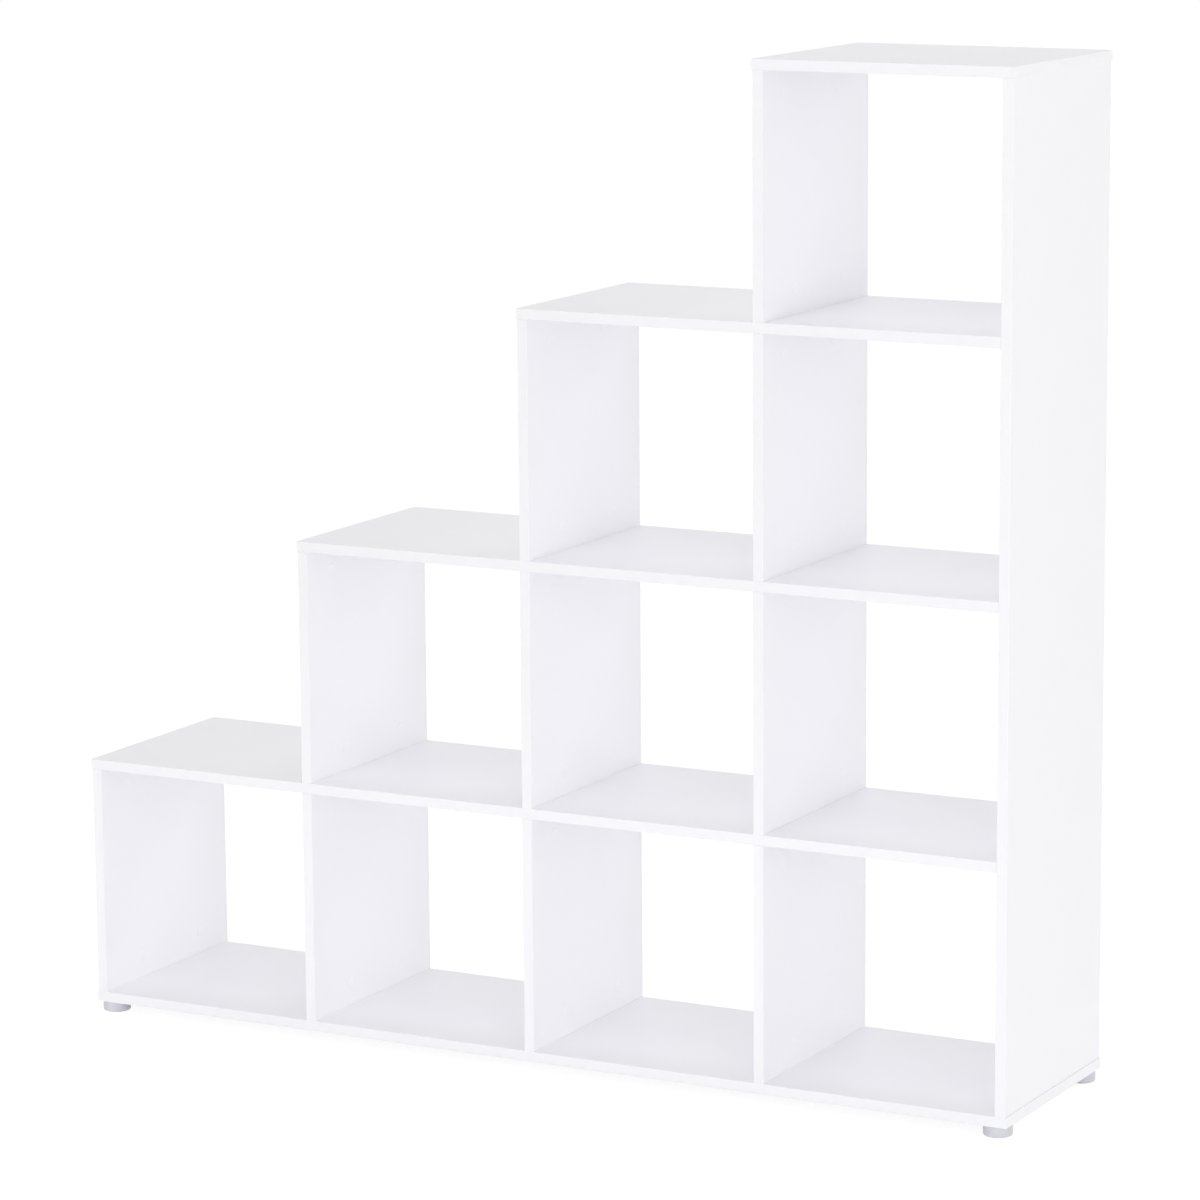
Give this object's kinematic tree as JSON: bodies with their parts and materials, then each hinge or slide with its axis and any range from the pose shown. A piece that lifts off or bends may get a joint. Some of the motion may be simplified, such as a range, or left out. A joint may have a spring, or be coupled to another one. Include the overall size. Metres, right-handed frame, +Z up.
{
  "type": "staircase bookshelf",
  "caption": "Free-standing open cube shelf whose columns rise like stairs to one side, of white boards on round feet, for books and boxes or as a room divider.",
  "frame": {"origin": "on the floor, at the middle of the footprint", "axes": "+X to the tall end, +Y to the back, +Z up; the picture's front is at -Y"},
  "size_m": [1.45, 0.33, 1.425],
  "materials": {
    "white_melamine": "white melamine-faced chipboard, satin",
    "white_edging": "white plastic edging, satin",
    "white_cap": "white moulded plastic",
    "grey_foot": "light grey moulded plastic",
    "zinc_cam": "die-cast zinc",
    "steel_bolt": "zinc-plated steel",
    "beech_dowel": "plain beech"
  },
  "bodies": {
    "root": {"bottom_board": "white_melamine", "level_1_board": "white_melamine", "level_2_board": "white_melamine", "level_3_board": "white_melamine", "top_board": "white_melamine", "right_side_panel": "white_melamine", "row_1_upright_1": "white_melamine", "row_1_upright_2": "white_melamine", "row_1_upright_3": "white_melamine", "row_1_upright_4": "white_melamine", "row_2_upright_2": "white_melamine", "row_2_upright_3": "white_melamine", "row_2_upright_4": "white_melamine", "row_3_upright_3": "white_melamine", "row_3_upright_4": "white_melamine", "row_4_upright_4": "white_melamine", "bottom_board_edging": "white_edging", "level_1_board_edging": "white_edging", "level_2_board_edging": "white_edging", "level_3_board_edging": "white_edging", "top_board_edging": "white_edging", "right_side_panel_edging": "white_edging", "row_1_upright_1_edging": "white_edging", "row_1_upright_2_edging": "white_edging", "row_1_upright_3_edging": "white_edging", "row_1_upright_4_edging": "white_edging", "row_2_upright_2_edging": "white_edging", "row_2_upright_3_edging": "white_edging", "row_2_upright_4_edging": "white_edging", "row_3_upright_3_edging": "white_edging", "row_3_upright_4_edging": "white_edging", "row_4_upright_4_edging": "white_edging", "front_left_foot": "grey_foot", "front_right_foot": "grey_foot", "rear_left_foot": "grey_foot", "rear_right_foot": "grey_foot", "cam_locks": "zinc_cam", "cam_cover_caps": "white_cap", "cam_bolts": "steel_bolt", "wooden_dowels": "beech_dowel", "foot_screws": "steel_bolt"}
  },
  "joints": []
}
